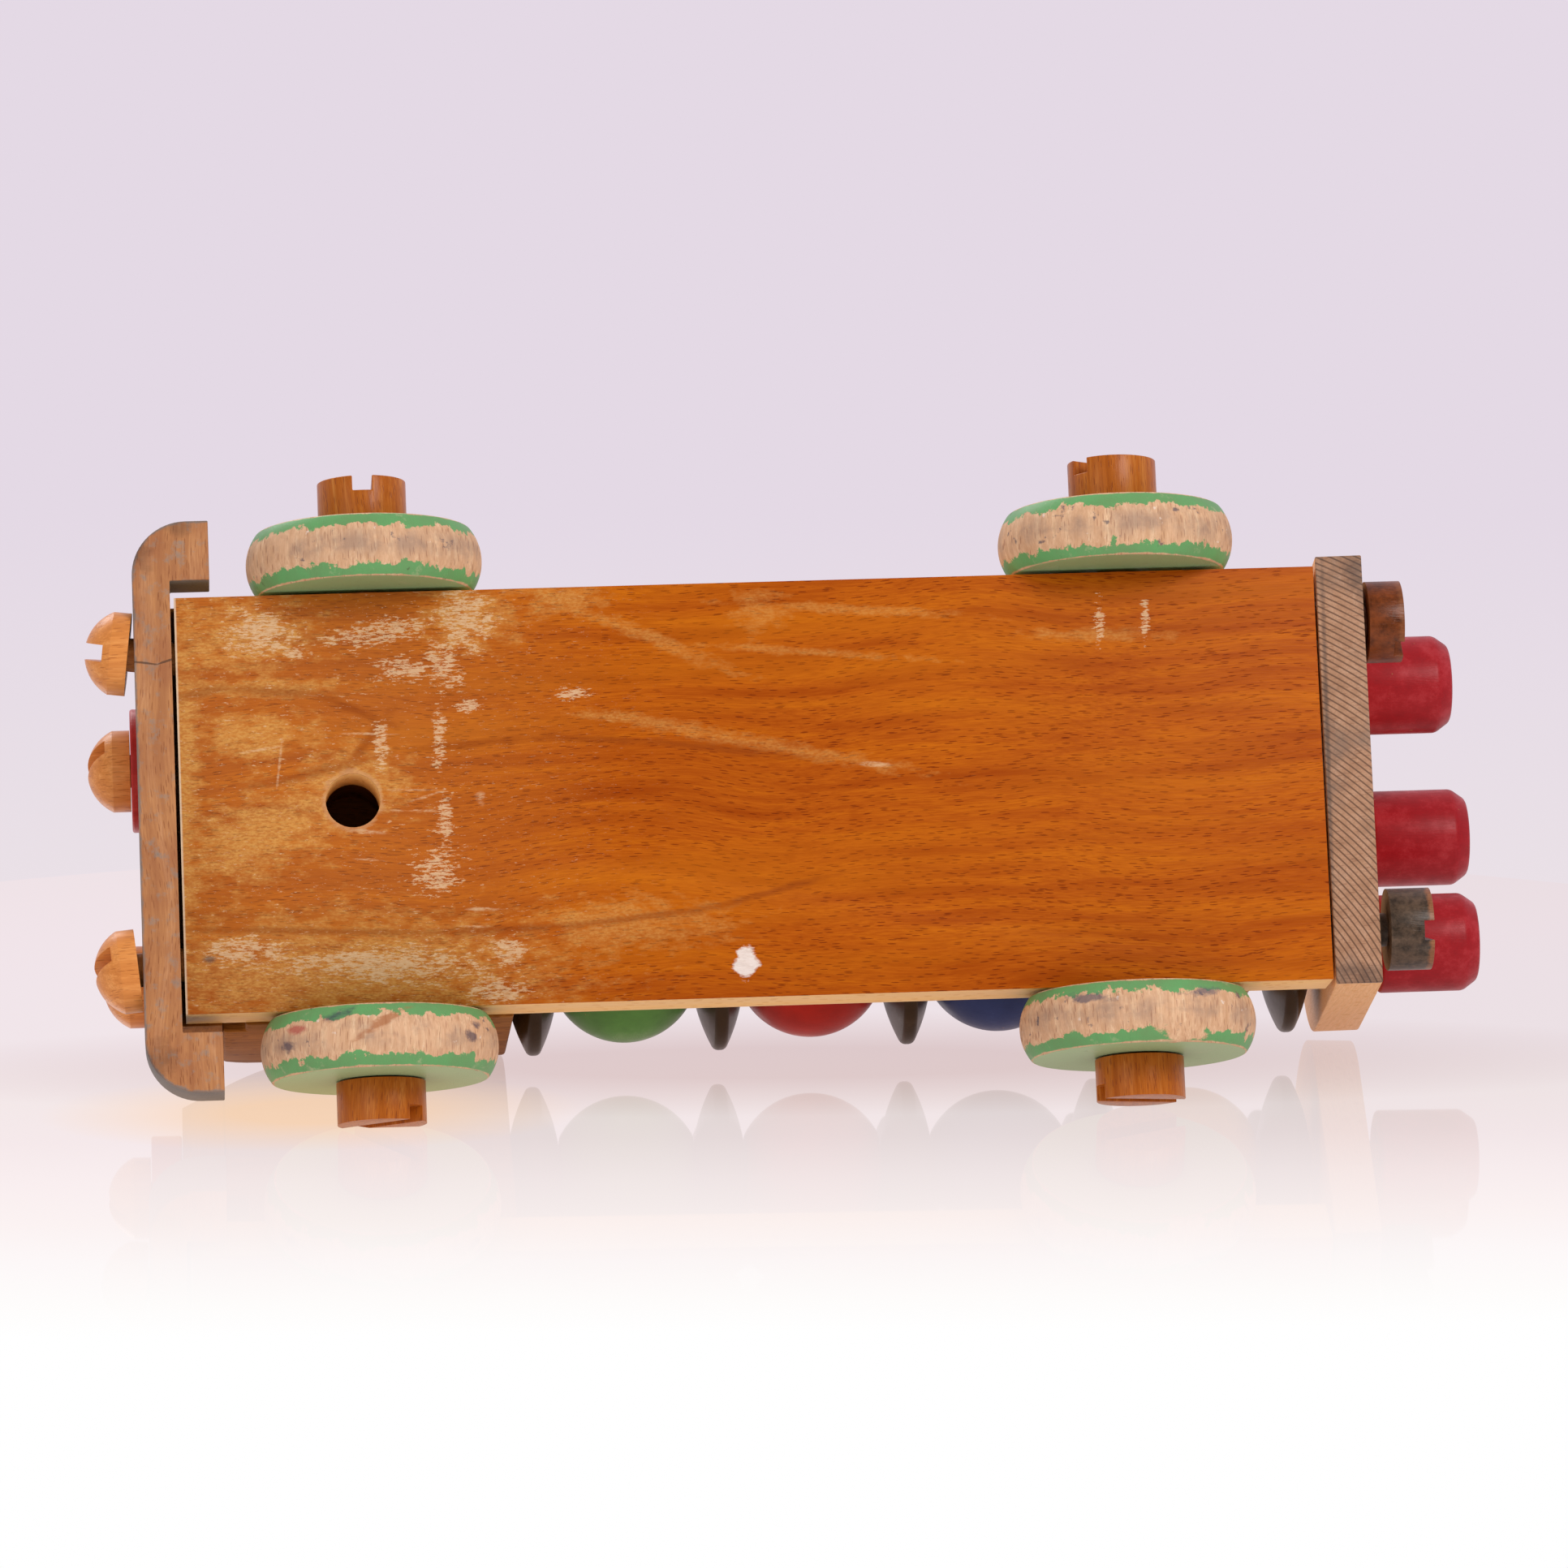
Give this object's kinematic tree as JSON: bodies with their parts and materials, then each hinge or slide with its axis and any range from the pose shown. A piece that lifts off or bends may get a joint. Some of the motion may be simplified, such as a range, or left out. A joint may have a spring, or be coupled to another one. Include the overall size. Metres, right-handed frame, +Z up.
{
  "type": "wooden toy truck",
  "caption": "Push-along wooden truck: board chassis on turned wheels, round-topped cab and tailboard with strings of turning beads between them.",
  "frame": {"origin": "on the ground, under the centre of the truck's outer box", "axes": "+X forward, towards the cab; +Y to the truck's left; +Z up"},
  "size_m": [0.3432, 0.1548, 0.1501],
  "materials": {
    "board_wood": "oiled and worn",
    "cab_wood": "varnished",
    "bolt_wood": "turned and oiled",
    "rod_wood": "bare",
    "grey_paint": "old paint over wood",
    "red_paint": "gloss paint over wood",
    "dark_bolt_paint": "old paint over wood",
    "wheel_green_paint": "worn gloss paint over wood",
    "green_bead_paint": "gloss paint over wood",
    "red_bead_paint": "gloss paint over wood",
    "blue_bead_paint": "gloss paint over wood",
    "yellow_bead_paint": "gloss paint over wood",
    "grey_bead_paint": "worn dark paint over wood"
  },
  "bodies": {
    "truck": {"chassis_board": "board_wood", "bumper": "grey_paint", "bumper_bolt_left": "bolt_wood", "bumper_bolt_right": "bolt_wood", "cab_block": "cab_wood", "cab_front_board": "cab_wood", "lamp_bolt_left": "bolt_wood", "lamp_bolt_right": "bolt_wood", "tailboard": "grey_paint", "tail_bolt_left": "bolt_wood", "tail_bolt_right": "dark_bolt_paint", "axle_bolt_front_left": "bolt_wood", "axle_bolt_front_right": "bolt_wood", "axle_bolt_rear_left": "bolt_wood", "axle_bolt_rear_right": "bolt_wood"},
    "wheel_front_left": {"wheel_front_left": "wheel_green_paint"},
    "wheel_front_right": {"wheel_front_right": "wheel_green_paint"},
    "wheel_rear_left": {"wheel_rear_left": "wheel_green_paint"},
    "wheel_rear_right": {"wheel_rear_right": "wheel_green_paint"},
    "lamp_disc_left": {"lamp_disc_left": "red_paint"},
    "lamp_disc_right": {"lamp_disc_right": "red_paint"},
    "rod_left": {"bead_rod_left": "rod_wood", "red_knob_left": "red_paint"},
    "disc_1_left": {"disc_1_left": "grey_bead_paint"},
    "ball_green_left": {"ball_green_left": "green_bead_paint"},
    "disc_2_left": {"disc_2_left": "grey_bead_paint"},
    "ball_red_left": {"ball_red_left": "red_bead_paint"},
    "disc_3_left": {"disc_3_left": "grey_bead_paint"},
    "ball_blue_left": {"ball_blue_left": "blue_bead_paint"},
    "disc_4_left": {"disc_4_left": "grey_bead_paint"},
    "ball_yellow_left": {"ball_yellow_left": "yellow_bead_paint"},
    "disc_5_left": {"disc_5_left": "grey_bead_paint"},
    "rod_right": {"bead_rod_right": "rod_wood", "red_knob_right": "red_paint"},
    "disc_1_right": {"disc_1_right": "grey_bead_paint"},
    "ball_green_right": {"ball_green_right": "green_bead_paint"},
    "disc_2_right": {"disc_2_right": "grey_bead_paint"},
    "ball_red_right": {"ball_red_right": "red_bead_paint"},
    "disc_3_right": {"disc_3_right": "grey_bead_paint"},
    "ball_blue_right": {"ball_blue_right": "blue_bead_paint"},
    "disc_4_right": {"disc_4_right": "grey_bead_paint"},
    "ball_yellow_right": {"ball_yellow_right": "yellow_bead_paint"},
    "disc_5_right": {"disc_5_right": "grey_bead_paint"},
    "rod_upper": {"bead_rod_upper": "rod_wood", "red_knob_upper": "red_paint"},
    "disc_1_upper": {"disc_1_upper": "grey_bead_paint"},
    "ball_green_upper": {"ball_green_upper": "green_bead_paint"},
    "disc_2_upper": {"disc_2_upper": "grey_bead_paint"},
    "ball_red_upper": {"ball_red_upper": "red_bead_paint"},
    "disc_3_upper": {"disc_3_upper": "grey_bead_paint"},
    "ball_blue_upper": {"ball_blue_upper": "blue_bead_paint"},
    "disc_4_upper": {"disc_4_upper": "grey_bead_paint"},
    "ball_yellow_upper": {"ball_yellow_upper": "yellow_bead_paint"},
    "disc_5_upper": {"disc_5_upper": "grey_bead_paint"}
  },
  "joints": [
    {"name": "wheel_spin_front_left", "type": "hinge", "parent": "truck", "child": "wheel_front_left", "pos_m": [0.10408, 0.05, 0.0282], "axis": [0, 1, 0], "continuous": true},
    {"name": "wheel_spin_front_right", "type": "hinge", "parent": "truck", "child": "wheel_front_right", "pos_m": [0.10408, -0.0518, 0.0282], "axis": [0, 1, 0], "continuous": true},
    {"name": "wheel_spin_rear_left", "type": "hinge", "parent": "truck", "child": "wheel_rear_left", "pos_m": [-0.07652, 0.05, 0.0282], "axis": [0, 1, 0], "continuous": true},
    {"name": "wheel_spin_rear_right", "type": "hinge", "parent": "truck", "child": "wheel_rear_right", "pos_m": [-0.07652, -0.0518, 0.0282], "axis": [0, 1, 0], "continuous": true},
    {"name": "lamp_spin_left", "type": "hinge", "parent": "truck", "child": "lamp_disc_left", "pos_m": [0.15108, 0.0165, 0.0711], "axis": [1, 0, 0], "continuous": true},
    {"name": "lamp_spin_right", "type": "hinge", "parent": "truck", "child": "lamp_disc_right", "pos_m": [0.15108, -0.0365, 0.0711], "axis": [1, 0, 0], "continuous": true},
    {"name": "rod_pull_left", "type": "slide", "parent": "truck", "child": "rod_left", "axis": [-1, 0, 0], "range_m": [0, 0.015]},
    {"name": "disc_1_left_spin", "type": "hinge", "parent": "truck", "child": "disc_1_left", "pos_m": [0.07148, 0.0313, 0.0861], "axis": [1, 0, 0], "continuous": true},
    {"name": "ball_green_left_spin", "type": "hinge", "parent": "truck", "child": "ball_green_left", "pos_m": [0.05898, 0.0313, 0.0861], "axis": [1, 0, 0], "continuous": true},
    {"name": "disc_2_left_spin", "type": "hinge", "parent": "truck", "child": "disc_2_left", "pos_m": [0.02558, 0.0313, 0.0861], "axis": [1, 0, 0], "continuous": true},
    {"name": "ball_red_left_spin", "type": "hinge", "parent": "truck", "child": "ball_red_left", "pos_m": [0.01308, 0.0313, 0.0861], "axis": [1, 0, 0], "continuous": true},
    {"name": "disc_3_left_spin", "type": "hinge", "parent": "truck", "child": "disc_3_left", "pos_m": [-0.02032, 0.0313, 0.0861], "axis": [1, 0, 0], "continuous": true},
    {"name": "ball_blue_left_spin", "type": "hinge", "parent": "truck", "child": "ball_blue_left", "pos_m": [-0.03282, 0.0313, 0.0861], "axis": [1, 0, 0], "continuous": true},
    {"name": "disc_4_left_spin", "type": "hinge", "parent": "truck", "child": "disc_4_left", "pos_m": [-0.06622, 0.0313, 0.0861], "axis": [1, 0, 0], "continuous": true},
    {"name": "ball_yellow_left_spin", "type": "hinge", "parent": "truck", "child": "ball_yellow_left", "pos_m": [-0.07872, 0.0313, 0.0861], "axis": [1, 0, 0], "continuous": true},
    {"name": "disc_5_left_spin", "type": "hinge", "parent": "truck", "child": "disc_5_left", "pos_m": [-0.11212, 0.0313, 0.0861], "axis": [1, 0, 0], "continuous": true},
    {"name": "rod_pull_right", "type": "slide", "parent": "truck", "child": "rod_right", "axis": [-1, 0, 0], "range_m": [-0.0034, 0.015]},
    {"name": "disc_1_right_spin", "type": "hinge", "parent": "truck", "child": "disc_1_right", "pos_m": [0.07148, -0.0331, 0.0861], "axis": [1, 0, 0], "continuous": true},
    {"name": "ball_green_right_spin", "type": "hinge", "parent": "truck", "child": "ball_green_right", "pos_m": [0.05898, -0.0331, 0.0861], "axis": [1, 0, 0], "continuous": true},
    {"name": "disc_2_right_spin", "type": "hinge", "parent": "truck", "child": "disc_2_right", "pos_m": [0.02558, -0.0331, 0.0861], "axis": [1, 0, 0], "continuous": true},
    {"name": "ball_red_right_spin", "type": "hinge", "parent": "truck", "child": "ball_red_right", "pos_m": [0.01308, -0.0331, 0.0861], "axis": [1, 0, 0], "continuous": true},
    {"name": "disc_3_right_spin", "type": "hinge", "parent": "truck", "child": "disc_3_right", "pos_m": [-0.02032, -0.0331, 0.0861], "axis": [1, 0, 0], "continuous": true},
    {"name": "ball_blue_right_spin", "type": "hinge", "parent": "truck", "child": "ball_blue_right", "pos_m": [-0.03282, -0.0331, 0.0861], "axis": [1, 0, 0], "continuous": true},
    {"name": "disc_4_right_spin", "type": "hinge", "parent": "truck", "child": "disc_4_right", "pos_m": [-0.06622, -0.0331, 0.0861], "axis": [1, 0, 0], "continuous": true},
    {"name": "ball_yellow_right_spin", "type": "hinge", "parent": "truck", "child": "ball_yellow_right", "pos_m": [-0.07872, -0.0331, 0.0861], "axis": [1, 0, 0], "continuous": true},
    {"name": "disc_5_right_spin", "type": "hinge", "parent": "truck", "child": "disc_5_right", "pos_m": [-0.11212, -0.0331, 0.0861], "axis": [1, 0, 0], "continuous": true},
    {"name": "rod_pull_upper", "type": "slide", "parent": "truck", "child": "rod_upper", "axis": [-1, 0, 0], "range_m": [-0.0058, 0.015]},
    {"name": "disc_1_upper_spin", "type": "hinge", "parent": "truck", "child": "disc_1_upper", "pos_m": [0.07148, -0.0009, 0.1241], "axis": [1, 0, 0], "continuous": true},
    {"name": "ball_green_upper_spin", "type": "hinge", "parent": "truck", "child": "ball_green_upper", "pos_m": [0.05898, -0.0009, 0.1241], "axis": [1, 0, 0], "continuous": true},
    {"name": "disc_2_upper_spin", "type": "hinge", "parent": "truck", "child": "disc_2_upper", "pos_m": [0.02558, -0.0009, 0.1241], "axis": [1, 0, 0], "continuous": true},
    {"name": "ball_red_upper_spin", "type": "hinge", "parent": "truck", "child": "ball_red_upper", "pos_m": [0.01308, -0.0009, 0.1241], "axis": [1, 0, 0], "continuous": true},
    {"name": "disc_3_upper_spin", "type": "hinge", "parent": "truck", "child": "disc_3_upper", "pos_m": [-0.02032, -0.0009, 0.1241], "axis": [1, 0, 0], "continuous": true},
    {"name": "ball_blue_upper_spin", "type": "hinge", "parent": "truck", "child": "ball_blue_upper", "pos_m": [-0.03282, -0.0009, 0.1241], "axis": [1, 0, 0], "continuous": true},
    {"name": "disc_4_upper_spin", "type": "hinge", "parent": "truck", "child": "disc_4_upper", "pos_m": [-0.06622, -0.0009, 0.1241], "axis": [1, 0, 0], "continuous": true},
    {"name": "ball_yellow_upper_spin", "type": "hinge", "parent": "truck", "child": "ball_yellow_upper", "pos_m": [-0.07872, -0.0009, 0.1241], "axis": [1, 0, 0], "continuous": true},
    {"name": "disc_5_upper_spin", "type": "hinge", "parent": "truck", "child": "disc_5_upper", "pos_m": [-0.11212, -0.0009, 0.1241], "axis": [1, 0, 0], "continuous": true}
  ]
}
